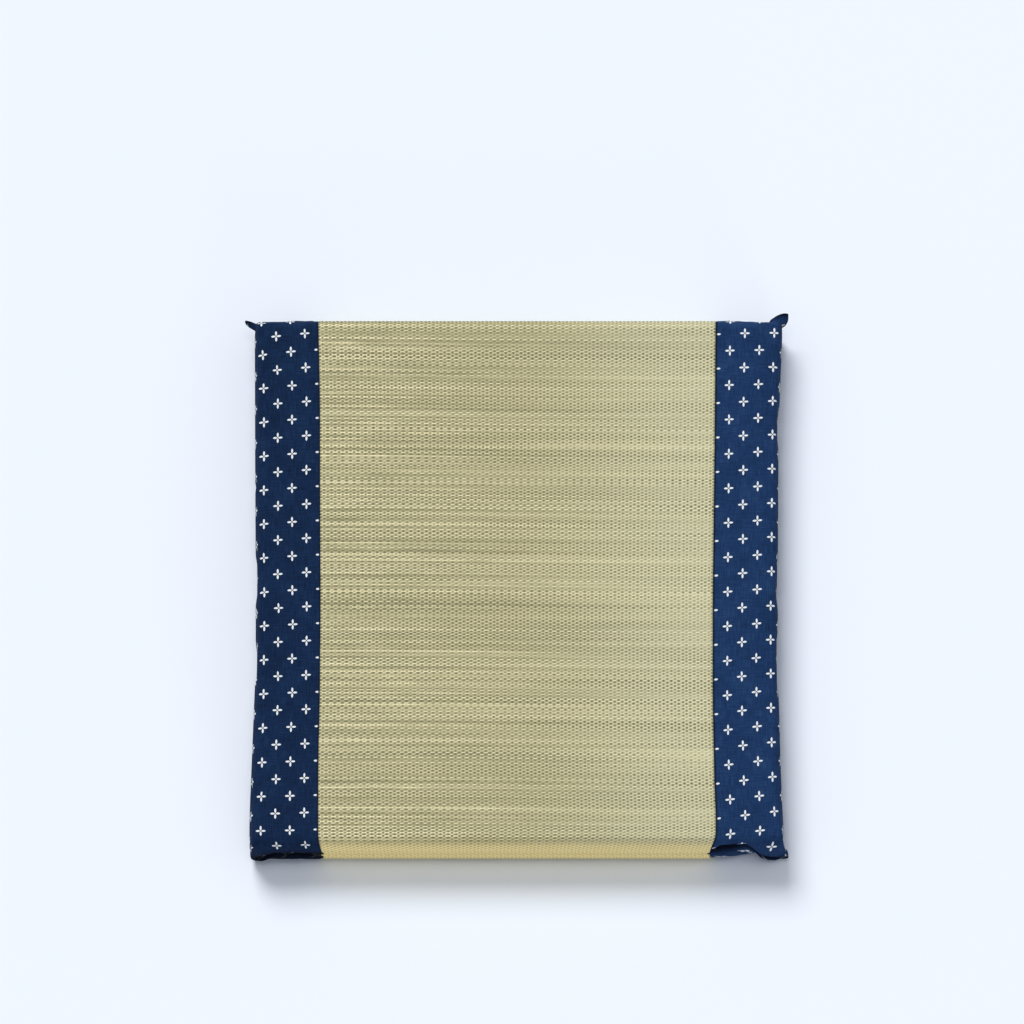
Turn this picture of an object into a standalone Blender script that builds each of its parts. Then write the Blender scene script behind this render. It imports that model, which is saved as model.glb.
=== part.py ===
"""Woven-rush floor cushion: a flat zabuton with a rush seat between two cotton bands.

The cover is a tube. A rush panel lies on top and another underneath, and a cotton band
wraps round each side from the top panel to the underside panel. The front and the back
are closed by a seam at mid-thickness, whose ends make the ears at the four corners.
Inside are a foam slab, a sheet of wadding on each face of it, and a non-woven backing
behind each rush panel. +X is the cushion's right, -Y its front and +Z up. The origin is
under the middle of the cushion, on the surface that it rests on.
"""

import math

import bmesh
import bpy

# Driving dimensions, in metres
WIDTH = 0.546              # side to side, halfway along the sides
DEPTH = 0.590              # from the back closing seam to the front one
THICKNESS = 0.053          # filled and at rest
RUSH_WIDTH = 0.416         # rush seat between the two band seams
EDGE_ROUND = 0.014         # how far in from a closing seam the cover starts to bend down
SIDE_ROUND = 0.016         # the same, in from a side
ROUNDNESS = 2.3            # power of the bent edges: 2 is an ellipse, more is squarer
SIDE_PULL = 0.006          # how far the sides pull in between the corners
EAR_LENGTH = 0.004         # how far an ear stands out past its corner

# Sheet thicknesses and small stock
RUSH_SHEET = 0.0024
BACKING_SHEET = 0.0006
COTTON_SHEET = 0.0008
WADDING_SHEET = 0.006
THREAD_DIAMETER = 0.0006

# Fits
TOUCH = 0.0003             # gap between pieces that lie on each other
FILL_CLEARANCE = 0.001     # between the filling's edges and the cover
BACKING_STOP = 0.006       # the backing's edge above the closing seam
THREAD_STOP = 0.003        # a band seam's end above the closing seam
THREAD_TAIL = 0.006        # how far a closing seam ends inside the ear's tip

# Fillets of the filling
FOAM_CORNER = 0.020        # the slab's upright corners
FOAM_EDGE = 0.003
WADDING_CORNER = 0.026
WADDING_EDGE = 0.0018

# Facets
BEND_STEPS = 9             # facets in a quarter of a bent edge
SIDE_STEPS = 12            # stations along the straight part of a band
FILLET_STEPS = 5

HALF_DEPTH = DEPTH / 2
HALF_THICKNESS = THICKNESS / 2
SEAM_GAP = THREAD_DIAMETER + 2 * TOUCH      # a seam's thread fills it, less the touch gaps
HALF_GAP = SEAM_GAP / 2


def make_material(name, colour, roughness):
    """A matt material, because every piece is cloth, straw, thread or foam."""
    material = bpy.data.materials.new(name)
    material.use_nodes = True
    shader = material.node_tree.nodes["Principled BSDF"]
    shader.inputs["Base Color"].default_value = (*colour, 1)
    shader.inputs["Roughness"].default_value = roughness
    shader.inputs["Metallic"].default_value = 0
    return material


def add_object(name, data, material):
    piece = bpy.data.objects.new(name, data)
    data.materials.append(material)
    bpy.context.scene.collection.objects.link(piece)
    return piece


def bend(lowest=0):
    """A unit bent edge, (out, up), from its crest (0, 1) down to where up is lowest.

    A whole quarter ends at its side, (1, 0).
    """
    last = math.acos(lowest ** (ROUNDNESS / 2))
    points = []
    for step in range(BEND_STEPS + 1):
        angle = last * step / BEND_STEPS
        out = math.sin(angle) ** (2 / ROUNDNESS)
        up = max(math.cos(angle), 0) ** (2 / ROUNDNESS)
        points.append((out, up))
    return points


def panel_profile(inset, stop=HALF_GAP):
    """(y, height above mid-thickness) across a panel, from the back to the front.

    inset is the depth under the cover's outer face. The ends stop at a height above the
    closing seam's middle, which is the seam's own gap unless a piece ends higher.
    """
    run = EDGE_ROUND - inset
    crest = HALF_DEPTH - EDGE_ROUND
    rise = HALF_THICKNESS - inset - HALF_GAP
    lowest = (stop - HALF_GAP) / rise
    front = [(-crest - run * out, HALF_GAP + rise * up) for out, up in bend(lowest)]
    back = [(-y, height) for y, height in reversed(front)]
    return back + front


def reach(half, run, top, level):
    """How far out a bent edge's face is at a level above mid-thickness."""
    share = (1 - (level / top) ** ROUNDNESS) ** (1 / ROUNDNESS)
    return half - run + run * share


def sheet_object(name, outer, inner, material):
    """A closed sheet between two equal grids of points, lists of rows."""
    rows, columns = len(outer), len(outer[0])
    bm = bmesh.new()
    skin = [[bm.verts.new(point) for point in row] for row in outer]
    lining = [[bm.verts.new(point) for point in row] for row in inner]
    for i in range(rows - 1):
        for j in range(columns - 1):
            bm.faces.new((skin[i][j], skin[i][j + 1], skin[i + 1][j + 1], skin[i + 1][j]))
            bm.faces.new((lining[i][j], lining[i + 1][j], lining[i + 1][j + 1], lining[i][j + 1]))
    for i in range(rows - 1):
        for j in (0, columns - 1):
            bm.faces.new((skin[i][j], skin[i + 1][j], lining[i + 1][j], lining[i][j]))
    for j in range(columns - 1):
        for i in (0, rows - 1):
            bm.faces.new((skin[i][j], skin[i][j + 1], lining[i][j + 1], lining[i][j]))
    bmesh.ops.recalc_face_normals(bm, faces=bm.faces)
    mesh = bpy.data.meshes.new(name)
    bm.to_mesh(mesh)
    bm.free()
    mesh.shade_smooth()
    mesh.set_sharp_from_angle(angle=math.radians(40))
    return add_object(name, mesh, material)


def make_panel(name, side, inset, sheet, stop, material):
    """A rush panel or its backing: side is 1 on top and -1 underneath."""
    half = RUSH_WIDTH / 2 - HALF_GAP
    grids = []
    for depth in (inset, inset + sheet):
        profile = panel_profile(depth, stop)
        grids.append([
            [(x, y, HALF_THICKNESS + side * height) for x in (-half, half)]
            for y, height in profile
        ])
    return sheet_object(name, grids[0], grids[1], material)


def band_stations():
    """(y, half-height) along a band, from the back to the front."""
    lip = COTTON_SHEET + HALF_GAP           # one layer and half the gap between the two
    bent = [(y, max(height, lip)) for y, height in panel_profile(0)]
    middle = len(bent) // 2
    start, end = bent[middle - 1], bent[middle]
    between = []
    for step in range(1, SIDE_STEPS):
        y = start[0] + (end[0] - start[0]) * step / SIDE_STEPS
        between.append((y, HALF_THICKNESS))
    return bent[:middle] + between + bent[middle:]


def half_width(y, height):
    """From the middle to the side of the cover, at a station."""
    pulled_out = SIDE_PULL * (y / HALF_DEPTH) ** 2
    ear = EAR_LENGTH * (1 - height / HALF_THICKNESS) ** 2
    return WIDTH / 2 + pulled_out + ear


def band_section(y, height, inset):
    """One C-shaped section of a band, from its top seam round to its underside seam."""
    crest = half_width(y, height) - SIDE_ROUND
    run = SIDE_ROUND - inset
    rise = height - inset
    upper = [(RUSH_WIDTH / 2 + HALF_GAP, rise)]
    upper += [(crest + run * out, rise * up) for out, up in bend()]
    lower = [(x, -z) for x, z in reversed(upper[:-1])]
    return upper + lower


def make_band(name, side, material):
    """A cotton band: side is 1 on the right and -1 on the left."""
    grids = []
    for inset in (0, COTTON_SHEET):
        grids.append([
            [(side * x, y, HALF_THICKNESS + z) for x, z in band_section(y, height, inset)]
            for y, height in band_stations()
        ])
    return sheet_object(name, grids[0], grids[1], material)


def make_slab(name, half_x, half_y, low, high, corner, edge, material):
    """A filling sheet: a block with round upright corners and softened edges."""
    bm = bmesh.new()
    bmesh.ops.create_cube(bm, size=2)
    for vert in bm.verts:
        vert.co.x *= half_x
        vert.co.y *= half_y
        vert.co.z = high if vert.co.z > 0 else low
    upright = [e for e in bm.edges if abs(e.verts[0].co.z - e.verts[1].co.z) > TOUCH]
    bmesh.ops.bevel(
        bm, geom=upright, offset=corner, offset_type="OFFSET",
        segments=FILLET_STEPS, profile=0.5, affect="EDGES", clamp_overlap=True,
    )
    mesh = bpy.data.meshes.new(name)
    bm.to_mesh(mesh)
    bm.free()
    slab = add_object(name, mesh, material)
    soften = slab.modifiers.new("softened edges", "BEVEL")
    soften.width = edge
    soften.segments = 2
    soften.limit_method = "ANGLE"
    soften.angle_limit = math.radians(60)
    return slab


def make_filling(foam_material, wadding_material):
    """The foam slab and the wadding on its two faces, cut to fill the cover."""
    wadding_depth = RUSH_SHEET + BACKING_SHEET + 2 * TOUCH
    foam_depth = wadding_depth + WADDING_SHEET + TOUCH
    wadding_top = HALF_THICKNESS - wadding_depth
    foam_top = HALF_THICKNESS - foam_depth

    def half_sizes(level):
        side_top = HALF_THICKNESS - COTTON_SHEET
        half_x = reach(WIDTH / 2 - COTTON_SHEET, SIDE_ROUND - COTTON_SHEET, side_top, level)
        end_inset = RUSH_SHEET + TOUCH + BACKING_SHEET
        end_top = HALF_THICKNESS - end_inset
        half_y = reach(HALF_DEPTH - end_inset, EDGE_ROUND - end_inset, end_top, level)
        return half_x - FILL_CLEARANCE, half_y - FILL_CLEARANCE

    half_x, half_y = half_sizes(foam_top)
    make_slab(
        "foam_core", half_x, half_y, HALF_THICKNESS - foam_top, HALF_THICKNESS + foam_top,
        FOAM_CORNER, FOAM_EDGE, foam_material,
    )
    half_x, half_y = half_sizes(wadding_top)
    for name, side in (("wadding_top", 1), ("wadding_underside", -1)):
        levels = sorted((
            HALF_THICKNESS + side * wadding_top,
            HALF_THICKNESS + side * (wadding_top - WADDING_SHEET),
        ))
        make_slab(
            name, half_x, half_y, levels[0], levels[1],
            WADDING_CORNER, WADDING_EDGE, wadding_material,
        )


def make_thread(name, path, material):
    """A sewing thread along a list of points."""
    curve = bpy.data.curves.new(name, "CURVE")
    curve.dimensions = "3D"
    curve.bevel_depth = THREAD_DIAMETER / 2
    curve.bevel_resolution = 1
    curve.use_fill_caps = True
    spline = curve.splines.new("POLY")
    spline.points.add(len(path) - 1)
    for point, place in zip(spline.points, path):
        point.co = (*place, 1)
    return add_object(name, curve, material)


def make_band_seam(name, side, face, material):
    """The thread that joins a band to a rush panel, in the gap between their edges."""
    path = [
        (side * RUSH_WIDTH / 2, y, HALF_THICKNESS + face * height)
        for y, height in panel_profile(COTTON_SHEET / 2, THREAD_STOP)
    ]
    return make_thread(name, path, material)


def make_closing_seam(name, end, material):
    """The thread that closes the front or the back, between the upper and lower layers."""
    half = half_width(HALF_DEPTH, 0) - THREAD_TAIL
    y = end * (HALF_DEPTH - COTTON_SHEET)
    path = [(-half, y, HALF_THICKNESS), (half, y, HALF_THICKNESS)]
    return make_thread(name, path, material)


def build():
    for leftover in list(bpy.data.objects):
        bpy.data.objects.remove(leftover)

    rush = make_material("rush", (0.45, 0.41, 0.24), 0.62)
    cotton = make_material("navy cotton", (0.010, 0.024, 0.066), 0.85)
    backing = make_material("non-woven backing", (0.78, 0.78, 0.75), 0.9)
    foam = make_material("foam", (0.86, 0.80, 0.58), 0.95)
    wadding = make_material("wadding", (0.82, 0.81, 0.77), 1.0)
    cream_thread = make_material("cream thread", (0.70, 0.66, 0.50), 0.7)
    navy_thread = make_material("navy thread", (0.012, 0.022, 0.055), 0.7)

    backing_inset = RUSH_SHEET + TOUCH
    for suffix, side in (("top", 1), ("underside", -1)):
        make_panel("rush_" + suffix, side, 0, RUSH_SHEET, HALF_GAP, rush)
        make_panel(
            "backing_" + suffix, side, backing_inset, BACKING_SHEET, BACKING_STOP, backing,
        )
    for suffix, side in (("left", -1), ("right", 1)):
        make_band("cotton_band_" + suffix, side, cotton)
        make_band_seam("band_seam_top_" + suffix, side, 1, navy_thread)
        make_band_seam("band_seam_underside_" + suffix, side, -1, navy_thread)
    make_closing_seam("closing_seam_front", -1, cream_thread)
    make_closing_seam("closing_seam_back", 1, cream_thread)
    make_filling(foam, wadding)


build()
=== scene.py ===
import math

import bmesh
import bpy
import numpy as np
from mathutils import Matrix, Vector


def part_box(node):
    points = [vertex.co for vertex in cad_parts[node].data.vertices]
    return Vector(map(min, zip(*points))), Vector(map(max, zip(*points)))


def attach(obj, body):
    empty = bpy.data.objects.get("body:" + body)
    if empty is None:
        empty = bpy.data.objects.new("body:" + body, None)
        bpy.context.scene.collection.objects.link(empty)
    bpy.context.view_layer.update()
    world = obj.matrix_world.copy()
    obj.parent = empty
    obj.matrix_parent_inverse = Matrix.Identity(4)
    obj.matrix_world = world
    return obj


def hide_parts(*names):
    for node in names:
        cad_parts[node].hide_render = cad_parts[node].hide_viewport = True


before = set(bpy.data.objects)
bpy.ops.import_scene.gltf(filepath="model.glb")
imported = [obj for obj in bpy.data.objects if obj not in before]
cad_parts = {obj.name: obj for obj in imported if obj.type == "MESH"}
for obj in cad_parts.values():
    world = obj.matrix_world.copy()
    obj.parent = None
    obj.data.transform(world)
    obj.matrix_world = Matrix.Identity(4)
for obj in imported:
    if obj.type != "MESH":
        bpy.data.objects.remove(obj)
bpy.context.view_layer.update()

millimetre = 0.001

# The cover's outer form. The frame gives its main sizes
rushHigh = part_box("rush_top")[1]
halfDepth = rushHigh.y
halfThick = rushHigh.z / 2
left, right = -1, 1

cover = {
    "endBend": 14 * millimetre,        # how far in from a closing seam the cover bends over
    "sideBend": 6 * millimetre,        # the same, in from a side
    "roundness": 2.3,                  # 2 is an ellipse, more is squarer
    "sideRoundness": 3.6,              # the same, for a side
    "crown": 2.0 * millimetre,         # how much the middle of the seat stands up
    "crownHalf": (260 * millimetre, 280 * millimetre),     # how far out that shows, along X and Y
    "seamPinch": 2.6 * millimetre,     # how far the closing seams are drawn in
    "pinchReach": 4.5 * millimetre,    # how far up and down that shows
    "bandPinch": 6.5 * millimetre,     # how much deeper that crease is in the cotton
    "bandCrease": 3.4 * millimetre,    # how far up and down that one shows
    "frontTuck": {left: 3.2 * millimetre, right: 6.0 * millimetre},    # how much the front edge narrows
    "tuckFades": (6 * millimetre, 36 * millimetre),        # and where that fades out, from the seam
}

# Sewn by hand, neither a band seam nor a side is quite straight.
# (along Y, out from the middle), in mm
seamLine = {
    left: [
        (-285, 206.9), (-200, 206.9), (-133, 205.4), (-22, 204.8),
        (90, 205.6), (201, 206.0), (295, 208.2),
    ],
    right: [
        (-285, 207.5), (-267, 208.6), (-233, 206.7), (-133, 205.0),
        (-22, 205.2), (150, 207.6), (295, 209.2),
    ],
}
sideLine = {
    left: [
        (-282, 277.6), (-257, 277.6), (-190, 275.2), (-90, 271.6),
        (10, 271.8), (127, 272.8), (244, 273.4), (290, 273.8),
    ],
    right: [
        (-277, 278.6), (-257, 276.6), (-190, 274.4), (-90, 272.4),
        (10, 272.4), (177, 273.8), (244, 276.4), (290, 278.5),
    ],
}


def smooth(low, high, value):
    t = np.clip((value - low) / (high - low), 0, 1)
    return t * t * (3 - 2 * t)


def follow(line, y, ease=20):                 # a line's points joined by one smooth curve
    along, out = np.array(line, float).T
    fine = np.arange(-300, 301, 2.0)
    kernel = np.hanning(2 * ease + 1)
    padded = np.pad(np.interp(fine, along, out), ease, mode="edge")
    curve = np.convolve(padded, kernel / kernel.sum(), "valid")
    return np.interp(y / millimetre, fine, curve) * millimetre


class Profile:                                # a panel's path from the front seam to the back seam
    def __init__(self, steps=240):
        angle = np.linspace(0, math.pi / 2, steps)
        out = cover["endBend"] * np.sin(angle) ** (2 / cover["roundness"])
        crest = halfDepth - cover["endBend"]
        up = halfThick * np.cos(angle) ** (2 / cover["roundness"])
        self.y = np.concatenate([-(crest + out)[::-1], crest + out])
        self.height = np.concatenate([up[::-1], up])
        self.y -= np.sign(self.y) * pinchAt(self.height, cover["seamPinch"], cover["pinchReach"])
        steps = np.hypot(np.diff(self.y), np.diff(self.height))
        self.along = np.concatenate([[0], np.cumsum(steps)])
        self.length = self.along[-1]

    def at(self, s):                          # (y, height above mid-thickness)
        return np.interp(s, self.along, self.y), np.interp(s, self.along, self.height)

    def normal(self, s, reach=0.4 * millimetre):
        y0, height0 = self.at(s - reach)
        y1, height1 = self.at(s + reach)
        size = np.hypot(y1 - y0, height1 - height0) + 1e-12
        return -(height1 - height0) / size, (y1 - y0) / size


def pinchAt(height, depth, reach):
    return depth * np.exp(-(height / reach) ** 2)


coverPath = Profile()
print("the cover is", round(coverPath.length, 4), "m from seam to seam")


def crownAt(x, y):
    halfX, halfY = cover["crownHalf"]
    return cover["crown"] * np.clip(1 - (x / halfX) ** 2, 0, 1) * np.clip(1 - (y / halfY) ** 2, 0, 1)


def seamAt(side, y, s):                       # from the middle to a band seam
    tucked = 1 - smooth(*cover["tuckFades"], s)
    return follow(seamLine[side], y) - cover["frontTuck"][side] * tucked


def sideAt(side, y):                          # from the middle to a side
    return follow(sideLine[side], y)


# ---- shader helpers


class Wire:                                   # one output socket, with arithmetic on its values
    def __init__(self, paint, socket):
        self.paint, self.socket = paint, socket

    def maths(self, operation, *others):
        sockets = dict(enumerate((self,) + others))
        return self.paint.node("ShaderNodeMath", {"operation": operation}, sockets)

    def __add__(self, other):
        return self.maths("ADD", other)

    def __sub__(self, other):
        return self.maths("SUBTRACT", other)

    def __rsub__(self, other):
        return self.maths("MULTIPLY_ADD", -1.0, other)

    def __mul__(self, other):
        return self.maths("MULTIPLY", other)

    def __truediv__(self, other):
        return self.maths("DIVIDE", other)

    def __pow__(self, other):
        return self.maths("POWER", other)

    def __abs__(self):
        return self.maths("ABSOLUTE")

    __radd__ = __add__
    __rmul__ = __mul__

    def between(self, low, high):             # 0 below low, 1 above high, smooth in between
        sockets = {"Value": self, "From Min": low, "From Max": high}
        return self.paint.node("ShaderNodeMapRange", {"interpolation_type": "SMOOTHSTEP"}, sockets)


class Paint:                                  # one material and the nodes in it
    def __init__(self, name, roughness, **constants):
        self.material = bpy.data.materials.new(name)
        self.material.use_nodes = True
        self.tree = self.material.node_tree
        self.shader = self.tree.nodes["Principled BSDF"]
        self.feed(self.shader.inputs["Roughness"], roughness)
        for socket, value in constants.items():
            self.feed(self.shader.inputs[socket.replace("_", " ")], value)

    def feed(self, socket, value):
        if isinstance(value, Wire):
            self.tree.links.new(value.socket, socket)
        else:
            socket.default_value = value

    def node(self, kind, settings=None, sockets=None, output=0):
        made = self.tree.nodes.new(kind)
        for name, value in (settings or {}).items():
            if name == "stops":
                self.fillRamp(made.color_ramp, value)
            else:
                setattr(made, name, value)
        for name, value in (sockets or {}).items():
            self.feed(made.inputs[name], value)
        return Wire(self, made.outputs[output])

    def fillRamp(self, ramp, stops):
        while len(ramp.elements) < len(stops):
            ramp.elements.new(1.0)
        for element, (place, colour) in zip(ramp.elements, stops):
            element.position = place
            element.color = (*colour, 1)

    def ramp(self, value, *stops):
        return self.node("ShaderNodeValToRGB", {"stops": stops}, {"Fac": value})

    def mix(self, factor, first, second):
        first, second = (c if isinstance(c, Wire) else (*c, 1) for c in (first, second))
        return self.node("ShaderNodeMix", {"data_type": "RGBA"}, {0: factor, 6: first, 7: second}, 2)

    def attribute(self, name):                # the three numbers of a mesh's own attribute
        vector = self.node("ShaderNodeAttribute", {"attribute_name": name}, {}, 1)
        return self.parts(vector)

    def parts(self, vector):
        first = self.node("ShaderNodeSeparateXYZ", {}, {0: vector})
        return [Wire(self, output) for output in first.socket.node.outputs]

    def objectPlace(self):
        return self.node("ShaderNodeTexCoord", {}, {}, 3)

    def vector(self, x, y, z=0.0):
        return self.node("ShaderNodeCombineXYZ", {}, {0: x, 1: y, 2: z})

    def noise(self, place, scale=1.0, detail=2.0, roughness=0.5):
        sockets = {"Vector": place, "Scale": scale, "Detail": detail, "Roughness": roughness}
        return self.node("ShaderNodeTexNoise", {}, sockets)

    def perRow(self, row, salt):              # a number from 0 to 1 that is the same all along a row
        sockets = {"Vector": self.vector(row, salt)}
        return self.node("ShaderNodeTexWhiteNoise", {"noise_dimensions": "2D"}, sockets)

    def cells(self, place, scale):            # distance to the nearest of scattered points
        return self.node("ShaderNodeTexVoronoi", {}, {"Vector": place, "Scale": scale})

    def colour(self, value):
        self.feed(self.shader.inputs["Base Color"], value if isinstance(value, Wire) else (*value, 1))

    def bump(self, height, distance, strength=1.0):
        sockets = {"Height": height, "Distance": distance, "Strength": strength}
        self.feed(self.shader.inputs["Normal"], self.node("ShaderNodeBump", {}, sockets))


# ---- mesh helpers


def meshFrom(name, points, faces, paint, closed=True):
    mesh = bpy.data.meshes.new(name)
    mesh.from_pydata(np.asarray(points).reshape(-1, 3).tolist(), [], faces)
    if closed:
        editable = bmesh.new()
        editable.from_mesh(mesh)
        bmesh.ops.recalc_face_normals(editable, faces=editable.faces[:])
        editable.to_mesh(mesh)
        editable.free()
    mesh.materials.append(paint.material)
    mesh.shade_smooth()
    piece = bpy.data.objects.new(name, mesh)
    bpy.context.scene.collection.objects.link(piece)
    return piece


def gridFaces(rows, columns, start=0, flip=False):
    index = start + np.arange(rows * columns).reshape(rows, columns)
    a, b = index[:-1, :-1], index[:-1, 1:]
    c, d = index[1:, 1:], index[1:, :-1]
    order = (a, d, c, b) if flip else (a, b, c, d)
    return np.stack(order, -1).reshape(-1, 4).tolist()


def placeAttribute(piece, name, values):
    attribute = piece.data.attributes.new(name, "FLOAT_VECTOR", "POINT")
    attribute.data.foreach_set("vector", np.asarray(values, np.float32).ravel())


def standsFor(piece, node):
    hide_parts(node)
    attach(piece, "root")


def thicken(piece, thickness):
    solid = piece.modifiers.new("cloth thickness", "SOLIDIFY")
    solid.thickness = thickness
    solid.offset = -1                         # inwards, away from the outer face


# ---- the woven rush panels

weave = {
    "warp": 3.95 * millimetre,         # from one warp thread to the next
    "row": 1.83 * millimetre,          # one weft of rush, across
    "rowVariation": 0.16,
    "rise": 0.34 * millimetre,         # how far a strand rises over a warp thread, and dips
    "valley": 0.22 * millimetre,       # how deep the line between two rows lies
    "swell": 0.22,                     # share of a row that a raised strand takes from its neighbour
    "drift": 1.8 * millimetre,         # how far the rows wander off square, either way
    "driftFalls": (0.62, 0.26),        # the share of the width where they do, at the front and back
    "driftWidth": 0.28,                # and over how much of it
    "driftFades": (70 * millimetre, 50 * millimetre),      # square within this of the two seams
    "wander": 0.025 * millimetre,      # how unevenly a strand lies
    "warpWander": 0.05,                # how unevenly the warps are spaced, in warps
    "offFloor": 0.05 * millimetre,     # pressed flat, this high
    "edge": 1.3 * millimetre,          # the last strip beside a band, which the seam pulls down
    "edgeDip": 0.9 * millimetre,
    "thickness": 2.4 * millimetre,
    "liningColumns": 9,
}


def makeRushPaint(name, warps):
    paint = Paint(name, 0.52, Specular_IOR_Level=0.38)
    u, v, end = paint.attribute("weavePlace")             # warps across, rows up, metres from the front
    row = v.maths("FLOOR")
    across = v - row - 0.5
    phase = ((u + row) * 0.5).maths("FRACT") - 0.5        # 0 where the strand is up, +-0.5 in a dip
    dipPhase = ((u + row + 1) * 0.5).maths("FRACT") - 0.5   # and 0 in a dip
    fromLeft = u / warps

    tone, dark, rowHighlight = (paint.perRow(row, salt) for salt in (0.3, 7.3, 15.3))
    tone = tone - paint.perRow(row + 1, 0.3)              # each row stands out from the next
    group = paint.noise(paint.vector(u * 0.006, v * 0.085), 1.0, 3.0, 0.6)
    quiet = paint.noise(paint.vector(u * 0.012, v * 0.16, 4.0), 1.0, 2.0).between(0.38, 0.60)
    strand = paint.noise(paint.vector(u * 0.10, row * 3.7), 1.0, 2.0)
    sideLitContrast = 0.8 + ((1 - fromLeft) ** 2.3) * 2.2        # painted light: the rows' tone differs most towards the left side

    slant = 0.2                                           # a strand crosses its row aslant
    dip = ((dipPhase / 0.21) ** 2.0 + ((across - dipPhase * slant) / 0.50) ** 2.0) ** 0.5
    # dips where a strand passes under a warp: partly the darker warp showing, partly painted shade
    hollow = (1 - dip.between(0.50, 1.25)) * (0.35 + dark * 0.45 + quiet * 0.45)
    # painted shade in the groove between two rows
    groove = abs(across).between(0.28, 0.5)
    crest = 1 - ((phase / 0.30) ** 2.0 + ((across - phase * slant) / 0.36) ** 2.0).between(0.0, 1.0)
    # painted highlight on the raised strands, stronger on some rows
    glint = crest * (0.34 + fromLeft * 0.20 + (rowHighlight ** 3.0) * sideLitContrast * 1.1)

    level = 0.42 + (tone * 0.34 + (strand - 0.5) * 0.45) * sideLitContrast
    level = level + (group - 0.5) * (0.7 + (fromLeft ** 1.5) * 1.5)
    straw = paint.ramp(
        level,
        (0.00, (0.255, 0.234, 0.104)),
        (0.30, (0.405, 0.372, 0.185)),
        (0.55, (0.490, 0.450, 0.236)),
        (0.80, (0.600, 0.545, 0.292)),
        (1.00, (0.860, 0.770, 0.440)),
    )
    # painted light: the right side of the rush paler and brighter
    straw = paint.mix(fromLeft.between(0.45, 1.0) * 0.52, straw, (0.74, 0.71, 0.47))
    straw = paint.mix(glint, straw, (0.93, 0.86, 0.56))
    litFrontEdge = 1 - end.between(0.017, 0.030)                  # painted light along the front edge: warmer and brighter there
    straw = paint.mix(litFrontEdge * 0.84, straw, (1.00, 0.77, 0.28))
    # painted highlight on the crests along the front edge
    straw = paint.mix(litFrontEdge * crest * 0.75, straw, (1.00, 0.98, 0.70))
    # painted shade: darker in the grooves between rows and in the dips
    straw = paint.mix(groove * (0.33 + fromLeft * 0.12), straw, (0.29, 0.27, 0.12))
    straw = paint.mix(hollow * (1 - litFrontEdge * 0.6) * (0.88 - fromLeft * 0.04), straw, (0.150, 0.135, 0.050))
    # crests paler along the left edge, beside the band
    paleLeftEdge = (1 - u.between(0.1, 0.9)) * crest.between(0.0, 0.5)
    straw = paint.mix(paleLeftEdge * 0.6, straw, (0.92, 0.88, 0.64))
    paint.colour(straw)
    fibres = paint.noise(paint.vector(u * 0.45, v * 9.0), 1.0, 2.0)
    paint.bump(fibres, 0.00015, 0.5)
    return paint


def rowDrift(share, s):                       # rows start level at each end and sag towards one side
    front, back = weave["driftFalls"]
    falls = front + (back - front) * (s / coverPath.length)
    frontFade, backFade = weave["driftFades"]
    free = smooth(0, frontFade, s) * smooth(0, backFade, coverPath.length - s)
    return -weave["drift"] * np.tanh((share - falls) / weave["driftWidth"]) * free


def rushShell(side, depth, share, s):         # points on a rush panel, or that deep in it
    y, height = coverPath.at(s)
    normalY, normalZ = coverPath.normal(s)
    x = -seamAt(left, y, s) * (1 - share) + seamAt(right, y, s) * share
    lift = crownAt(x, y) if side > 0 else 0
    y = y + normalY * depth
    z = halfThick + side * (height + normalZ * depth) + lift
    return np.stack(np.broadcast_arrays(x, y, z), -1)


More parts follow.
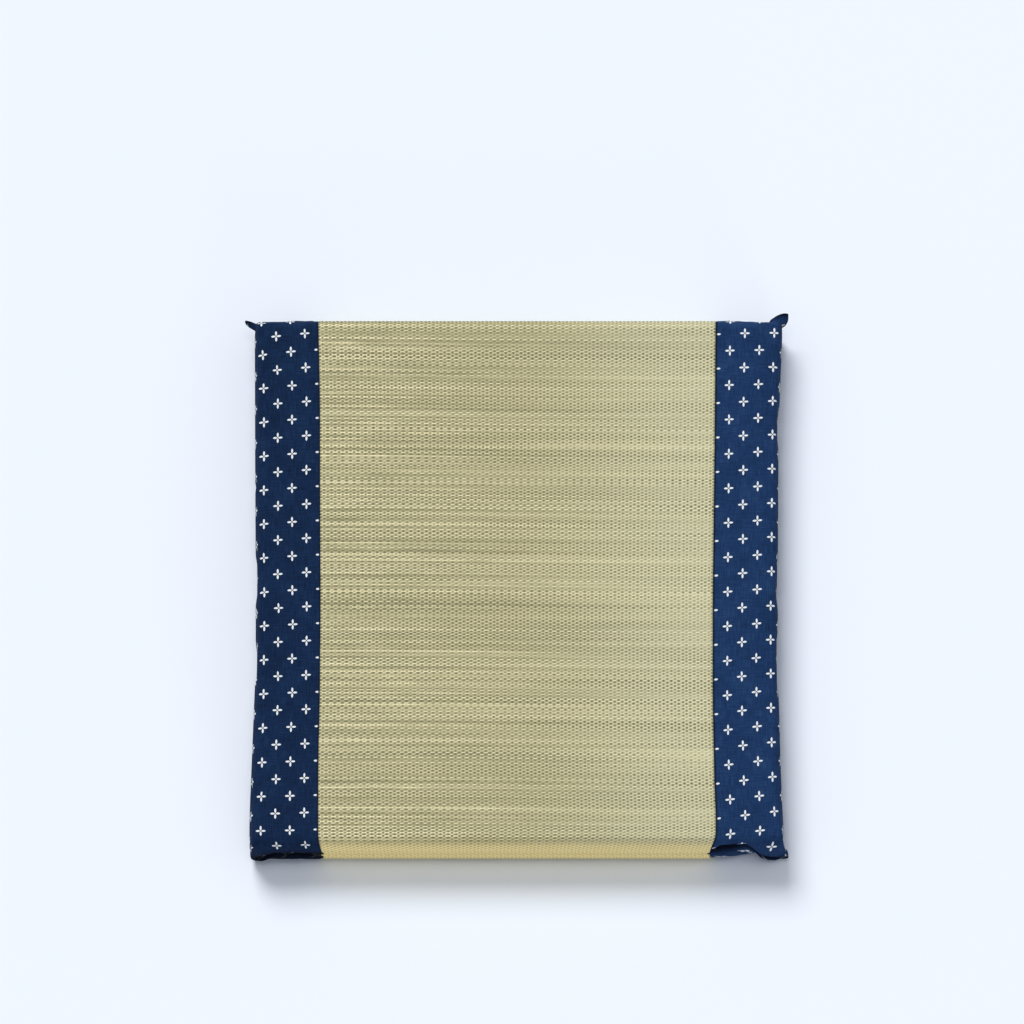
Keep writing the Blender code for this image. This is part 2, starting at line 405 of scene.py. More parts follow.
def makeRushPanel(name, side, paint, seed):
    random = np.random.default_rng(seed)
    rows = int(round(coverPath.length / weave["row"]))
    slow = np.convolve(random.normal(0, 1, rows + 6), np.ones(7) / 7, "valid")
    widths = 1 + weave["rowVariation"] * (random.uniform(-0.8, 0.8, rows) + 0.7 * slow)
    edges = np.concatenate([[0], np.cumsum(widths)]) / widths.sum() * coverPath.length

    panelWidth = 2 * follow(seamLine[right], 0.0)
    warps = int(round(panelWidth / weave["warp"]))
    spots = np.arange(warps + 1) / warps
    spots[1:-1] += random.normal(0, weave["warpWander"], warps - 1) / warps
    tight = weave["edge"] / panelWidth
    share = np.concatenate([[0], [tight], spots[1:-1], [1 - tight], [1]])
    number = np.concatenate([[0], np.arange(warps + 1), [warps]])
    sunk = np.zeros(len(share))
    sunk[[0, -1]] = weave["edgeDip"]

    wander = random.normal(0, weave["wander"], (rows, len(share)))
    lines, rises, places = [], [], []
    for k in range(rows + 1):
        over = np.where((number + k) % 2 == 0, 1.0, -1.0)
        width = edges[min(k + 1, rows)] - edges[min(k, rows - 1)]
        lines.append(edges[k] - weave["swell"] * width * over * (0 < k < rows))
        rises.append(-weave["valley"] - sunk)
        places.append(k)
        if k < rows:
            middle = (edges[k] + edges[k + 1]) / 2
            lines.append(middle + wander[k])
            rises.append(weave["rise"] * over * np.sqrt(widths[k]) + wander[k] - sunk)
            places.append(k + 0.5)
    s, rise, rowPlace = np.array(lines), np.array(rises), np.array(places)
    level = s.mean(axis=1, keepdims=True)
    level[0], level[-1] = 0, coverPath.length
    liningShare = np.linspace(0, 1, weave["liningColumns"])[None, :]
    outer = rushShell(side, rise, share[None, :], s + rowDrift(share[None, :], s))
    outer[..., 2] = np.maximum(outer[..., 2], weave["offFloor"])
    inner = rushShell(side, -weave["thickness"], liningShare, level + rowDrift(liningShare, level))

    lineCount, across, behind = len(outer), len(share), weave["liningColumns"]
    base = lineCount * across
    faces = gridFaces(lineCount, across) + gridFaces(lineCount, behind, base, True)
    for j in range(lineCount - 1):                        # the two rims beside the bands
        for front, back in ((0, 0), (across - 1, behind - 1)):
            a, d = j * across + front, base + j * behind + back
            faces.append([a, a + across, d + behind, d])
    for j in (0, lineCount - 1):                          # the two rims at the closing seams
        for k in range(behind - 1):
            first, last = (int(round(edge * (across - 1) / (behind - 1))) for edge in (k, k + 1))
            upper = [j * across + i for i in range(first, last + 1)]
            faces.append(upper + [base + j * behind + k + 1, base + j * behind + k])
    panel = meshFrom(name, np.concatenate([outer.reshape(-1, 3), inner.reshape(-1, 3)]), faces, paint)
    outerPlace = np.stack(np.broadcast_arrays(number[None, :], rowPlace[:, None], s), -1).reshape(-1, 3)
    innerPlace = np.tile((warps / 2, 0.25, 0.1), (lineCount * behind, 1))
    placeAttribute(panel, "weavePlace", np.concatenate([outerPlace, innerPlace]))
    return panel, (panelWidth, coverPath.length)


rushPaint = makeRushPaint("woven rush", 105)
for panelName, panelSide, panelSeed in (("top", 1, 11), ("underside", -1, 12)):
    rushPanel, rushFlat = makeRushPanel("rush_panel_" + panelName, panelSide, rushPaint, panelSeed)
    standsFor(rushPanel, "rush_" + panelName)
print("rush panels woven")


# ---- the printed cotton bands

band = {
    "cell": 3.0 * millimetre,          # size of a cloth facet, before subdivision
    "thickness": 0.7 * millimetre,
    "seamGap": 0.8 * millimetre,       # half the gap between its two layers in a closing seam
    # its turned edge beside the rush: (out from the seam, up), in mm
    "rolledEdge": [(-2.6, -2.4), (-0.2, -1.3), (0.35, 0.15), (1.4, 0.55)],
    "rolledGap": 2 * millimetre,       # from there to the first facet of its face
    "rolledFades": 6 * millimetre,     # the turned edge flattens out below this height
    "swell": 0.5 * millimetre,         # how much it stands proud beside the seam
    "swellReach": 8 * millimetre,
    "swellFades": 20 * millimetre,
    "cornerOut": 2 * millimetre,       # how much wider it is at a closing seam
    "creaseAcross": (0.02, 0.2, 0.75, 1.0),                # that crease, from t to t and out again
    "slack": 0.012,                    # how much longer the cloth is than the path it starts on
    "pressure": 2.0,                   # from inside
    "outMost": 1.0 * millimetre,       # how far the cloth may bulge
    "inMost": 0.5 * millimetre,        # and how far it may sink before the filling stops it
    "offFloor": (0.5 * millimetre, 0.4 * millimetre),      # the least height, before and after that
    "frames": 20,
}
ears = {
    # how far along the side an ear keeps its full width, and where it ends, in mm
    "width": {
        ("front", left): (4, 18), ("front", right): (6, 36),
        ("back", left): (4, 18), ("back", right): (8, 22),
    },
    # how flat it lies: 1 is as flat as the closing seam
    "flat": {
        ("front", left): 0.2, ("front", right): 0.8,
        ("back", left): 0.9, ("back", right): 0.9,
    },
    "flatAcross": (0.72, 0.95),        # from which t
    "flatFades": (10 * millimetre, 28 * millimetre),       # and within what length of the seam
    "taper": 0.8,                      # how far it runs back, as a share of the cloth's length
}
lips = {
    "drawn": {left: 0.0, right: 5.0},  # how far the front's upper lip is drawn in, in mm
    "drawnAcross": (0.02, 0.12, 0.36, 0.52),               # from t to t, and out again
    "drawnFades": 30 * millimetre,
    "gathered": {left: 4.5, right: 0.0},                   # cloth taken up by the front seam, in mm
    "gatherFades": (6 * millimetre, 40 * millimetre),
}

# Each corner was turned out differently. t runs along the closing seam, from the band seam (0) to
# the tip (1). At each t: how far it lies out sideways, out endways and up, and how far its lower
# layer is drawn in, in mm
corners = {
    ("front", left): [
        (0, 0, 0.5, -3, 0), (0.3, 0, 0.5, -1, 0), (0.5, 0, 1.5, 0, 0), (0.62, 0, 2, 3, 0),
        (0.75, 0, 3.5, -5, 0), (1, -6, 1, -16, 0),
    ],
    ("front", right): [
        (0, 0, -1.5, 4, 0), (0.25, 0, -3, 5, 1), (0.40, 0, -4.5, 8, 3), (0.48, 0, -5.5, 9, 4),
        (0.56, 0, -2, 4, 4), (0.64, 0, 0.5, -8, 2), (0.8, 1, 0.5, -17, 0),
        (0.9, 3, 0.5, -19, 0), (1, 4, -2, -15, 0),
    ],
    ("back", left): [
        (0, 0, 0, 0, 0), (0.35, 0, 0.5, 1, 0), (0.66, 0, -1, 0, 0), (0.76, 0, -2, 3, 0),
        (0.84, 2, 1.5, 6, 0), (0.94, 9, 2.5, 8, 0), (1, 10, 1.5, 9, 0),
    ],
    ("back", right): [
        (0, 0, 0, 0, 0), (0.3, 0, 0.5, 1, 0), (0.76, 0, -1.5, 1, 0), (0.82, -3.5, 5.5, 7, 0),
        (0.88, -2, 8, 13, 0), (0.95, 5, 8, 18, 0), (1, 6, 5, 19, 0),
    ],
}
cornerFades = {
    "body": 34 * millimetre,           # how far from the seam the shifts endways and up reach
    "under": (14 * millimetre, 30 * millimetre, 75 * millimetre),      # the lower layer's: in, and out
}


def cornerShift(corner, t, ease=5):           # outward, endward, upward and drawn in, at each t
    rows = np.array(corners[corner], float)
    fine = np.linspace(0, 1, 81)
    kernel = np.hanning(2 * ease + 1)
    for column in rows.T[1:]:
        joined = np.interp(fine, rows[:, 0], column)
        padded = np.pad(joined, ease, mode="reflect", reflect_type="odd")
        eased = np.convolve(padded, kernel / kernel.sum(), "valid")
        yield np.interp(t, fine, eased) * millimetre


def within(rises, whole, falls, ends, value):  # 0, then 1 from whole to falls, then 0 again
    return smooth(rises, whole, value) * (1 - smooth(falls, ends, value))


def bandSection(seam, side, height, steps=200):   # once round the band, from its top seam to the lower one
    bend = cover["sideBend"]
    angle = np.linspace(0, math.pi / 2, steps)
    curveX = side - bend + bend * np.sin(angle) ** (2 / cover["sideRoundness"])
    curveZ = height * np.cos(angle) ** (2 / cover["sideRoundness"])
    flat = np.linspace(seam, side - bend, steps)[:-1]
    x = np.concatenate([flat, curveX])
    z = np.concatenate([np.full(steps - 1, height), curveZ])
    x, z = np.concatenate([x, x[-2::-1]]), np.concatenate([z, -z[-2::-1]])
    along = np.concatenate([[0], np.cumsum(np.hypot(np.diff(x), np.diff(z)))])
    return x, z, along


def bandSurface(side):
    rows = int(round(coverPath.length / band["cell"])) + 1
    s = np.linspace(0, coverPath.length, rows)
    y, height = coverPath.at(s)
    height = np.maximum(height, band["seamGap"])
    seam, out = seamAt(side, y, s), sideAt(side, y)
    out = out + band["cornerOut"] * (1 - height / halfThick) ** 2
    cut = bandSection(seam[rows // 2], out[rows // 2], halfThick)[2][-1]
    columns = int(round(cut / band["cell"] / 2)) * 2 + 1
    rolled = np.array(band["rolledEdge"]) * millimetre
    edge = len(rolled)
    first = rolled[-1, 0] + band["rolledGap"]
    inner = np.linspace(first, cut - first, columns) / cut
    points = np.zeros((rows, columns + 2 * edge, 3))
    places = np.zeros_like(points)
    for k in range(rows):
        x, z, along = bandSection(seam[k], out[k], height[k])
        place = inner * along[-1]
        fromSeam = np.minimum(place, along[-1] - place)
        proud = band["swell"] * np.exp(-fromSeam / band["swellReach"])
        proud = proud * smooth(0, band["swellFades"], height[k])
        points[k, edge:-edge, 0] = np.interp(place, along, x)
        points[k, edge:-edge, 2] = np.interp(place, along, z) + np.where(inner < 0.5, 1, -1) * proud
        up = rolled[:, 1] * smooth(0, band["rolledFades"], height[k])
        points[k, :edge, 0] = points[k, :-edge - 1:-1, 0] = seam[k] + rolled[:, 0]
        points[k, :edge, 2] = height[k] + up
        points[k, :-edge - 1:-1, 2] = -height[k] - up
        points[k, :, 1] = y[k]
        places[k, :, 0] = np.concatenate([rolled[:, 0], place, along[-1] - rolled[::-1, 0]])
    gathered = lips["gathered"][side] * millimetre * (1 - smooth(*lips["gatherFades"], s))
    places[..., 1] = (s - gathered)[:, None]
    share = np.concatenate([rolled[:, 0] / cut, inner, 1 - rolled[::-1, 0] / cut])

    t = np.clip(1 - np.abs(share - 0.5) * 2, 0, 1)        # 0 at the band seams, 1 at the fold
    lower = smooth(0.5, 0.6, share)
    pinch = pinchAt(height, cover["bandPinch"], cover["bandCrease"])[:, None]
    crease = pinch * within(*band["creaseAcross"], t)[None, :]
    for end, sign, fromEnd in (("front", -1, s), ("back", 1, coverPath.length - s)):
        outward, endward, upward, drawn = cornerShift((end, side), t)
        tip, root = ears["width"][(end, side)]
        tipFade = 1 - smooth(tip * millimetre, root * millimetre, fromEnd)[:, None]
        bodyFade = (1 - smooth(0, cornerFades["body"], fromEnd))[:, None]
        underFade = within(0, *cornerFades["under"], fromEnd)[:, None]
        flatFade = (1 - smooth(*ears["flatFades"], fromEnd))[:, None]
        flat = smooth(*ears["flatAcross"], t) * flatFade * ears["flat"][(end, side)]
        lying = sign * (halfDepth - ears["taper"] * fromEnd)[:, None]
        points[..., 1] += (lying - points[..., 1]) * flat
        points[..., 2] *= 1 - flat
        points[..., 0] += tipFade * outward
        points[..., 1] += sign * (bodyFade * endward - underFade * drawn * lower)
        points[..., 2] += bodyFade * upward
    drawnIn = lips["drawn"][side] * millimetre * (1 - smooth(0, lips["drawnFades"], s))[:, None]
    points[..., 1] += drawnIn * within(*lips["drawnAcross"], t) * (1 - lower)
    points[..., 1] -= np.sign(y)[:, None] * crease
    points[..., 0] *= side
    points[..., 2] = np.maximum(points[..., 2] + halfThick, band["offFloor"][0])
    return points, places, t, s


def letClothSettle(piece, held):              # a cloth simulation, pushed out from inside
    group = piece.vertex_groups.new(name="held")
    for index, weight in enumerate(held):
        if weight > 0:
            group.add([index], float(weight), "REPLACE")
    cloth = piece.modifiers.new("cloth", "CLOTH")
    settings = cloth.settings
    settings.quality = 6
    settings.mass = 0.25
    settings.tension_stiffness = 25
    settings.compression_stiffness = 20
    settings.shear_stiffness = 12
    settings.bending_stiffness = 0.6
    settings.vertex_group_mass = "held"
    settings.shrink_min = -band["slack"]
    settings.use_pressure = True
    settings.uniform_pressure_force = band["pressure"]
    settings.effector_weights.gravity = 0
    cloth.collision_settings.use_collision = False
    for number in range(1, band["frames"] + 1):
        bpy.context.scene.frame_set(number)
    graph = bpy.context.evaluated_depsgraph_get()
    settled = piece.evaluated_get(graph).to_mesh()
    places = np.zeros(len(settled.vertices) * 3)
    settled.vertices.foreach_get("co", places)
    piece.evaluated_get(graph).to_mesh_clear()
    piece.modifiers.remove(cloth)
    piece.vertex_groups.remove(group)
    bpy.context.scene.frame_set(1)
    return places.reshape(-1, 3)


crosses = {
    "columns": {left: 15.0 * millimetre, right: 15.3 * millimetre},    # from one column to the next
    "rows": {left: 38.10 * millimetre, right: 38.47 * millimetre},     # from one cross to the next in it
    "sideways": (2.85, 2.15, 1.06),    # a sideways petal's middle, half length and half width, in mm
    "upright": (3.20, 2.40, 1.02),     # the same, for an upright petal
    "firstColumn": {left: -0.4, right: 0.2},               # out from the band seam, in mm
    "firstRow": {left: 38.6, right: 11.9},                 # up from the front seam, in mm
    # how far it runs off square, at the front and at the back
    "lean": {left: (-0.02, -0.107), right: (0.15, 0.025)},
}
seamShade = {left: 0.3, right: 0.8}    # how much painted shade darkens the cloth's turned edge


def makeCottonPaint(name, side, darkest, middle, lightest):
    paint = Paint(name, 0.9, Specular_IOR_Level=0.08)
    p, q = paint.attribute("clothPlace")[:2]              # metres across and along the flat cloth
    columns, rows = 2 * crosses["columns"][side], crosses["rows"][side]
    frontLean, backLean = crosses["lean"][side]
    lean = frontLean + q * ((backLean - frontLean) / coverPath.length)
    inColumns = (p - crosses["firstColumn"][side] * millimetre) / columns
    inRows = (q - p * lean - crosses["firstRow"][side] * millimetre) / rows

    def petals(offset):
        dx = ((inColumns + 0.5 + offset).maths("FRACT") - 0.5) * (columns / millimetre)
        dy = ((inRows + 0.5 + offset).maths("FRACT") - 0.5) * (rows / millimetre)
        middle, long, short = crosses["sideways"]
        sideways = ((abs(dx) - middle) / long) ** 2.0 + (dy / short) ** 2.0
        middle, long, short = crosses["upright"]
        upright = ((abs(dy) - middle) / long) ** 2.0 + (dx / short) ** 2.0
        hub = (dx ** 2.0 + dy ** 2.0) / 1.6
        return 1 - sideways.maths("MINIMUM", upright).between(0.78, 1.22), 1 - hub.between(0.4, 1.3)

    first, firstHub = petals(0.0)
    second, secondHub = petals(0.5)
    clear = p.between(1.2 * millimetre, 1.5 * millimetre)
    backSeam = coverPath.length
    # painted shade on the cloth within 15 mm of either closing seam
    deep = 1 - q.between(0.004, 0.015) * (1 - q.between(backSeam - 0.015, backSeam - 0.004))
    across = (q * (2 * math.pi / (0.62 * millimetre))).maths("SINE")
    along = (p * (2 * math.pi / (0.55 * millimetre))).maths("SINE")
    slub = paint.noise(paint.vector(p * 900.0, q * 70.0))
    slubAcross = paint.noise(paint.vector(p * 70.0, q * 800.0))
    patch = paint.noise(paint.vector(p * 28.0, q * 28.0))
    tone = slub * 0.42 + slubAcross * 0.33 + patch * 0.25
    navy = paint.ramp(tone, (0.32, darkest), (0.50, middle), (0.68, lightest))
    ink = paint.mix(slub.between(0.3, 0.8) * 0.35, (0.86, 0.88, 0.88), (0.60, 0.65, 0.70))
    cloth = paint.mix((firstHub + secondHub) * 0.35, navy, (0.42, 0.47, 0.52))
    cloth = paint.mix((first + second) * clear, cloth, ink)
    cloth = paint.mix(deep * 0.6, cloth, darkest)
    # painted shade along the turned edge beside the rush
    turned = 1 - p.between(0.8 * millimetre, 2.2 * millimetre)
    cloth = paint.mix(turned * seamShade[side], cloth, (0.003, 0.005, 0.011))
    # painted shade: a near-black line in the crease beside either closing seam
    crease = 1 - q.between(0.002, 0.008) * (1 - q.between(backSeam - 0.006, backSeam - 0.001))
    paint.colour(paint.mix(crease * 0.9, cloth, (0.0015, 0.003, 0.008)))
    paint.bump(across * along * 0.5 + slub + slubAcross * 0.7, 0.00012, 0.6)
    return paint


def makeBand(name, side, paint):
    points, places, t, s = bandSurface(side)
    rows, columns = points.shape[:2]
    piece = meshFrom(name, points, gridFaces(rows, columns, 0, side < 0), paint, closed=False)
    fromEnd = np.minimum(s, coverPath.length - s)
    held = np.zeros((rows, columns))
    seam = len(band["rolledEdge"]) + 1
    held[:, :seam] = held[:, -seam:] = 1
    ends = 1 - smooth(2 * millimetre, 10 * millimetre, fromEnd)
    tips = 1 - smooth(10 * millimetre, 30 * millimetre, fromEnd)
    held = np.maximum(held, ends[:, None])
    held = np.maximum(held, tips[:, None] * smooth(0.6, 0.9, t)[None, :])
    piece.data.update()
    normals = np.zeros(rows * columns * 3)
    piece.data.vertices.foreach_get("normal", normals)
    normals = normals.reshape(-1, 3)
    start = points.reshape(-1, 3)
    moved = letClothSettle(piece, held.ravel()) - start
    outwards = (moved * normals).sum(axis=1, keepdims=True)
    sideways = moved - outwards * normals
    size = np.linalg.norm(sideways, axis=1, keepdims=True)
    sideways *= np.minimum(1, band["outMost"] / np.maximum(size, 1e-9))
    final = start + sideways + normals * np.clip(outwards, -band["inMost"], band["outMost"])
    final[:, 2] = np.maximum(final[:, 2], band["offFloor"][1])
    piece.data.vertices.foreach_set("co", final.ravel())
    print(name, "settled, out by", np.round(np.percentile(outwards, (5, 50, 95)) * 1000, 2), "mm")
    placeAttribute(piece, "clothPlace", places.reshape(-1, 3))
    finer = piece.modifiers.new("finer", "SUBSURF")
    finer.levels = finer.render_levels = 1
    thicken(piece, band["thickness"])
    flat = (float((places[:, -1, 0] - places[:, 0, 0]).max()), coverPath.length)
    return piece, flat, points


# painted light: one navy cloth, painted darker on the left band and lighter on the right, as if lit from
# the right
navyShadedLeftLitRight = {
    left: ((0.0035, 0.0105, 0.0300), (0.0060, 0.0200, 0.0610), (0.0120, 0.0350, 0.0950)),
    right: ((0.0060, 0.0180, 0.0560), (0.0110, 0.0360, 0.1080), (0.0230, 0.0600, 0.1560)),
}
bandPoints = {}
for bandName, bandSide in (("left", left), ("right", right)):
    cotton = makeCottonPaint("navy cotton, " + bandName, bandSide, *navyShadedLeftLitRight[bandSide])
    bandPiece, bandFlat, bandPoints[bandSide] = makeBand("cotton_cover_" + bandName, bandSide, cotton)
    standsFor(bandPiece, "cotton_band_" + bandName)
print("cotton bands done")


# ---- what the cover holds

backing = {
    "clear": 0.25 * millimetre,        # between the rush and its backing
    "thickness": 0.5 * millimetre,
    "cell": 6 * millimetre,
    "ripple": 0.12 * millimetre,
    "short": 7 * millimetre,           # how far it stops short of a closing seam
    "columns": 70,
    "across": (0.002, 0.998),          # the share of the rush's width that it covers
    "dots": 3.2 * millimetre,          # from one bonding dot to the next
}


def makeBackingPaint():
    paint = Paint("non-woven backing", 0.9)
    place = paint.objectPlace()
    x, y = paint.parts(place)[:2]
    dotX = ((x * (1 / backing["dots"])).maths("FRACT") - 0.5) ** 2.0
    dotY = ((y * (1 / backing["dots"])).maths("FRACT") - 0.5) ** 2.0
    dots = 1 - (dotX + dotY).between(0.02, 0.06)
    fibres = paint.noise(place, 900.0, 3.0)
    paint.colour(paint.mix(dots * 0.5 + fibres * 0.3, (0.83, 0.83, 0.80), (0.62, 0.62, 0.59)))
    paint.bump(fibres - dots * 0.8, 0.00015, 0.8)
    return paint


def makeBacking(name, side, paint, seed):
    random = np.random.default_rng(seed)
    length = coverPath.length - 2 * backing["short"]
    rows, columns = int(length / backing["cell"]), backing["columns"]
    s = np.linspace(backing["short"], coverPath.length - backing["short"], rows)[:, None]
    share = np.linspace(*backing["across"], columns)[None, :]
    depth = -weave["thickness"] - weave["valley"] - backing["clear"]
    depth = depth - backing["ripple"] * random.uniform(0, 1, (rows, columns))
    points = rushShell(side, depth, share, s)
    piece = meshFrom(name, points, gridFaces(rows, columns, 0, side < 0), paint, closed=False)
    thicken(piece, backing["thickness"])
    return piece, (2 * follow(seamLine[right], 0.0), length)


# A slab with round corners and edges, its two faces crowned and a little uneven
def pillowSlab(name, low, high, cornerRadius, edgeRadius, crown, bumps, paint, seed):
    random = np.random.default_rng(seed)
    middle, half = (low + high) / 2, (high - low) / 2
    arc = np.linspace(0, math.pi / 2, 6)

    def spaced(reach):
        count = int(reach / (6 * millimetre))
        flat = np.linspace(-(reach - edgeRadius), reach - edgeRadius, count)
        bend = reach - edgeRadius + edgeRadius * np.sin(arc[1:])
        return np.concatenate([-bend[::-1], flat, bend])

    x, y = np.meshgrid(spaced(half.x), spaced(half.y), indexing="ij")
    dropX = np.clip((np.abs(x) - (half.x - edgeRadius)) / edgeRadius, 0, 1)
    dropY = np.clip((np.abs(y) - (half.y - edgeRadius)) / edgeRadius, 0, 1)
    rim = np.sqrt(np.clip(1 - np.maximum(dropX, dropY) ** 2, 0, 1))
    overX = np.clip((np.abs(x) - (half.x - cornerRadius)) / cornerRadius, 0, 1)
    overY = np.clip((np.abs(y) - (half.y - cornerRadius)) / cornerRadius, 0, 1)
    x = x - np.sign(x) * cornerRadius * overX * (1 - np.sqrt(1 - overY ** 2 / 2))
    y = y - np.sign(y) * cornerRadius * overY * (1 - np.sqrt(1 - overX ** 2 / 2))
    dome = crown * (1 - (x / half.x) ** 2) * (1 - (y / half.y) ** 2)
    waves = sum(
        np.sin(x * fx + px) * np.sin(y * fy + py)
        for fx, fy, px, py in zip(*random.uniform(40, 190, (2, 6)), *random.uniform(0, 6.3, (2, 6)))
    )
    height = half.z - edgeRadius + edgeRadius * rim - crown + dome + bumps * waves / 6 * rim
    count = x.size
    upper = np.stack([x, y, height], -1).reshape(-1, 3)
    lower = np.stack([x, y, -height], -1).reshape(-1, 3)
    faces = gridFaces(*x.shape, 0, True) + gridFaces(*x.shape, count)
    index = np.arange(count).reshape(x.shape)
    ring = np.concatenate([index[:-1, 0], index[-1, :-1], index[:0:-1, -1], index[0, :0:-1]])
    for a, b in zip(ring, np.roll(ring, -1)):
        faces.append([int(a), int(b), int(b) + count, int(a) + count])
    points = np.concatenate([upper, lower]) + np.array(middle)
    return meshFrom(name, points, faces, paint)


def makeFoamPaint():
    paint = Paint("foam", 0.95, Specular_IOR_Level=0.2)
    place = paint.objectPlace()
    cells = paint.cells(place, 900.0)
    patches = paint.noise(place, 14.0, 2.0)
    paint.colour(paint.mix(cells * 0.4 + patches * 0.3, (0.88, 0.83, 0.62), (0.72, 0.64, 0.42)))
    paint.bump(cells, 0.0004, 0.8)
    return paint


def makeWaddingPaint():
    paint = Paint("fibre wadding", 1.0, Sheen_Weight=0.3)
    place = paint.objectPlace()
    fibres = paint.noise(place, 420.0, 4.0, 0.7)
    tufts = paint.noise(place, 60.0, 3.0)
    paint.colour(paint.mix(fibres * 0.35 + tufts * 0.25, (0.88, 0.87, 0.84), (0.68, 0.67, 0.63)))
    paint.bump(fibres + tufts, 0.0006, 0.7)
    return paint


backingPaint, foamPaint, waddingPaint = makeBackingPaint(), makeFoamPaint(), makeWaddingPaint()
for layerName, layerSide, layerSeed in (("top", 1, 21), ("underside", -1, 22)):
    backingName = "backing_sheet_" + layerName
    backingPiece, backingFlat = makeBacking(backingName, layerSide, backingPaint, layerSeed)
    standsFor(backingPiece, "backing_" + layerName)
    low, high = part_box("wadding_" + layerName)
    layer = pillowSlab(
        "wadding_layer_" + layerName, low, high,
        46 * millimetre, 2.4 * millimetre, 0.4 * millimetre, 0.5 * millimetre, waddingPaint, layerSeed + 5,
    )
    standsFor(layer, "wadding_" + layerName)
low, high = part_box("foam_core")
foamShort = Vector((3 * millimetre, 6 * millimetre, 0))    # cut a little short of the cover
foam = pillowSlab(
    "foam_slab", low + foamShort, high - foamShort,
    45 * millimetre, 5 * millimetre, 0.8 * millimetre, 0.15 * millimetre, foamPaint, 31,
)
standsFor(foam, "foam_core")
print("filling done")

# ---- the stitches

stitch = {
    "long": 2.7 * millimetre,
    "pitch": 3.4 * millimetre,
    "thread": 0.55 * millimetre,
    "arch": 0.35 * millimetre,         # how far its ends dive into the cloth
    "sides": 6,
    "endGap": 4 * millimetre,          # a band seam ends this far from a closing seam
    "bandDepth": 0.5 * millimetre,     # and lies this deep beside the rush
    "closingOut": 0.25 * millimetre,   # a closing seam stands out this far along the rush
    "closingSunk": 2.6 * millimetre,   # and is sunk by this much between the cotton's lips
    "sinks": (206 * millimetre, 212 * millimetre),         # from here to here along X
    "earShare": 0.4,                   # it ends at the ear, this share of the way round a band
}


def makeThreadPaint(name, colour, shade):
    paint = Paint(name, 0.55, Sheen_Weight=0.2)
    along, around = paint.attribute("threadPlace")[:2]
    twist = ((along / 0.0007 + around) * (2 * math.pi)).maths("SINE")
    paint.colour(paint.mix(twist.between(-1.0, 1.0), shade, colour))
    paint.bump(twist, 0.00008, 0.8)
    return paint


def makeStitches(name, path, normals, paint):
    steps = np.linalg.norm(np.diff(path, axis=0), axis=1)
    along = np.concatenate([[0], np.cumsum(steps)])
    starts = np.arange(stitch["pitch"], along[-1] - stitch["pitch"], stitch["pitch"])
    stations = np.array([-0.5, -0.42, -0.2, 0.2, 0.42, 0.5])
    girth = np.array([0.35, 0.85, 1.0, 1.0, 0.85, 0.35]) * stitch["thread"] / 2
    turn = np.arange(stitch["sides"]) / stitch["sides"]
    cosine = np.cos(turn * 2 * math.pi)[None, :, None]
    sine = np.sin(turn * 2 * math.pi)[None, :, None]
    points, places, faces = [], [], []
    for start in starts:
        at = start + stations * stitch["long"]
        centre = np.stack([np.interp(at, along, path[:, k]) for k in range(3)], -1)
        normal = np.stack([np.interp(at, along, normals[:, k]) for k in range(3)], -1)
        tangent = np.gradient(centre, axis=0)
        tangent /= np.linalg.norm(tangent, axis=1, keepdims=True)
        normal -= (normal * tangent).sum(1, keepdims=True) * tangent
        normal /= np.linalg.norm(normal, axis=1, keepdims=True)
        side = np.cross(tangent, normal)
        centre = centre - normal * (stitch["arch"] * (2 * stations[:, None]) ** 2)
        base = len(points) * len(stations) * stitch["sides"]
        circle = cosine * side[:, None] + sine * normal[:, None]
        points.append(centre[:, None] + circle * girth[:, None, None])
        places.append(np.stack(np.broadcast_arrays(at[:, None], turn[None, :], 0.0), -1))
        for ring in range(len(stations) - 1):
            for k in range(stitch["sides"]):
                a = base + ring * stitch["sides"] + k
                b = base + ring * stitch["sides"] + (k + 1) % stitch["sides"]
                faces.append([a, b, b + stitch["sides"], a + stitch["sides"]])
        faces.append([base + k for k in range(stitch["sides"])][::-1])
        faces.append([base + (len(stations) - 1) * stitch["sides"] + k for k in range(stitch["sides"])])
    piece = meshFrom(name, np.array(points), faces, paint)
    placeAttribute(piece, "threadPlace", np.array(places).reshape(-1, 3))
    return piece


def bandSeamPath(side, face):                 # beside the rush, a little below its surface
    s = np.linspace(stitch["endGap"], coverPath.length - stitch["endGap"], 400)
    y, height = coverPath.at(s)
    normalY, normalZ = coverPath.normal(s)
    deep = stitch["bandDepth"]
    x = side * seamAt(side, y, s)
    path = np.stack([x, y - normalY * deep, halfThick + face * (height - normalZ * deep)], -1)
    return path, np.stack([0 * x, normalY, face * normalZ], -1)


def closingSeamPath(end):                     # up to each ear, along the crease
    row = 0 if end < 0 else -1
    inset = len(band["rolledEdge"]) + 2                   # past a band's turned edge
    seams = {}
    for side in (left, right):
        line = bandPoints[side][row]
        ear = int(len(line) * stitch["earShare"])
        seams[side] = (line[inset:ear] + line[::-1][inset:ear]) / 2
    path = np.concatenate([seams[left][::-1], seams[right]])
    inBand = smooth(*stitch["sinks"], np.abs(path[:, 0]))
    path[:, 1] += end * (stitch["closingOut"] - stitch["closingSunk"] * inBand)
    return path, np.tile((0.0, float(end), 0.0), (len(path), 1))


navyThread = makeThreadPaint("navy thread", (0.020, 0.036, 0.085), (0.006, 0.012, 0.032))
creamThread = makeThreadPaint("cream thread", (0.66, 0.61, 0.42), (0.36, 0.33, 0.20))
for seamSide, sideName in ((left, "left"), (right, "right")):
    for seamFace, faceName in ((1, "top"), (-1, "underside")):
        path, normals = bandSeamPath(seamSide, seamFace)
        row = makeStitches("stitches_" + faceName + "_" + sideName, path, normals, navyThread)
        standsFor(row, "band_seam_" + faceName + "_" + sideName)
for seamEnd, endName in ((-1, "front"), (1, "back")):
    path, normals = closingSeamPath(seamEnd)
    row = makeStitches("stitches_closing_" + endName, path, normals, creamThread)
    standsFor(row, "closing_seam_" + endName)
print("stitches sewn")


# ---- floor, light and camera

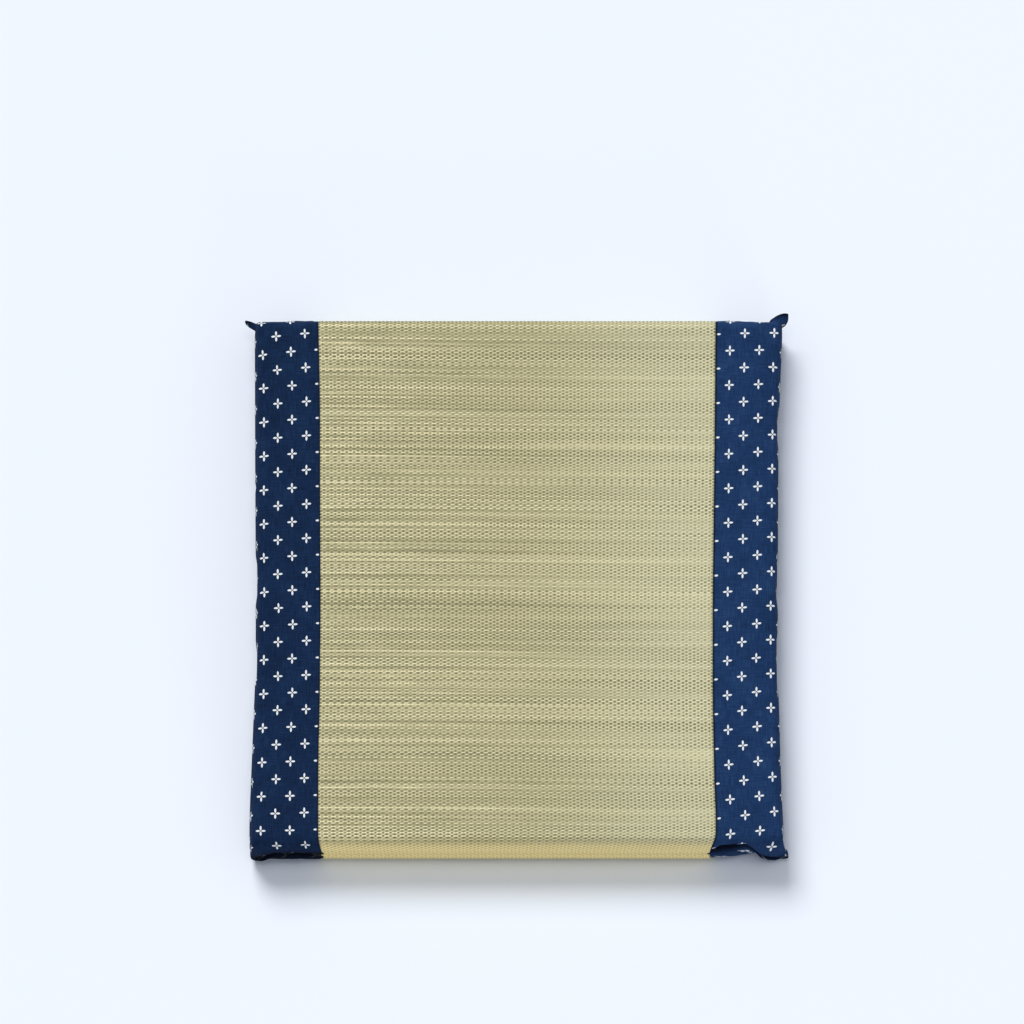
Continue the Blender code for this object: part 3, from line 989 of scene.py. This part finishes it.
view = {
    "elevation": 70.0,                 # degrees above the floor, from straight in front
    "distance": 30.0,
    "width": 1.0723,                   # how much of the floor the camera takes in, across
    "aimX": -4.7 * millimetre,         # where it looks: along X, and up in its own frame
    "aimUp": 89.7 * millimetre,
    "sensor": 36.0,
}
light = {                              # suns' strengths, and their widths in degrees
    "keyFrom": (-0.35, 0.80, 0.92), "keyStrength": 2.27, "keyAngle": 28.0,
    "topStrength": 0.47, "topAngle": 24.0,
    "fillFrom": (0.30, -1.00, 0.12), "fillStrength": 0.60, "fillAngle": 20.0,
    "room": 0.36, "roomColour": (0.905, 0.957, 1.06),
    "floorColour": (0.857, 0.902, 0.97),
}


def makeSun(name, towards, strength, angle):
    sun = bpy.data.lights.new(name, "SUN")
    sun.energy = strength
    sun.angle = math.radians(angle)
    lamp = bpy.data.objects.new(name, sun)
    bpy.context.scene.collection.objects.link(lamp)
    lamp.rotation_mode = "QUATERNION"
    lamp.rotation_quaternion = Vector(towards).to_track_quat("Z", "Y")


def makeStage():
    scene = bpy.context.scene
    scene.view_settings.view_transform = "Standard"
    bpy.ops.mesh.primitive_plane_add(size=12, location=(0, 0, 0))
    floor = bpy.context.object
    floor.name = "floor"
    floorPaint = Paint("pale floor", 0.9, Specular_IOR_Level=0.0)
    floorPaint.colour(light["floorColour"])
    floor.data.materials.append(floorPaint.material)
    world = bpy.data.worlds.new("soft room")
    world.use_nodes = True
    background = world.node_tree.nodes["Background"]
    background.inputs["Color"].default_value = (*light["roomColour"], 1)
    background.inputs["Strength"].default_value = light["room"]
    scene.world = world
    makeSun("key", light["keyFrom"], light["keyStrength"], light["keyAngle"])
    makeSun("overhead", (0, 0, 1), light["topStrength"], light["topAngle"])
    makeSun("fill", light["fillFrom"], light["fillStrength"], light["fillAngle"])

    elevation = math.radians(view["elevation"])
    back = Vector((0, -math.cos(elevation), math.sin(elevation)))
    up = Vector((0, math.sin(elevation), math.cos(elevation)))
    lens = bpy.data.cameras.new("camera")
    lens.sensor_width = view["sensor"]
    lens.lens = view["sensor"] * view["distance"] / view["width"]
    lens.clip_start, lens.clip_end = 1.0, 100.0
    camera = bpy.data.objects.new("camera", lens)
    scene.collection.objects.link(camera)
    camera.rotation_mode = "QUATERNION"
    camera.rotation_quaternion = back.to_track_quat("Z", "Y")
    camera.location = back * view["distance"] + up * view["aimUp"] + Vector((view["aimX"], 0, 0))
    scene.camera = camera


makeStage()
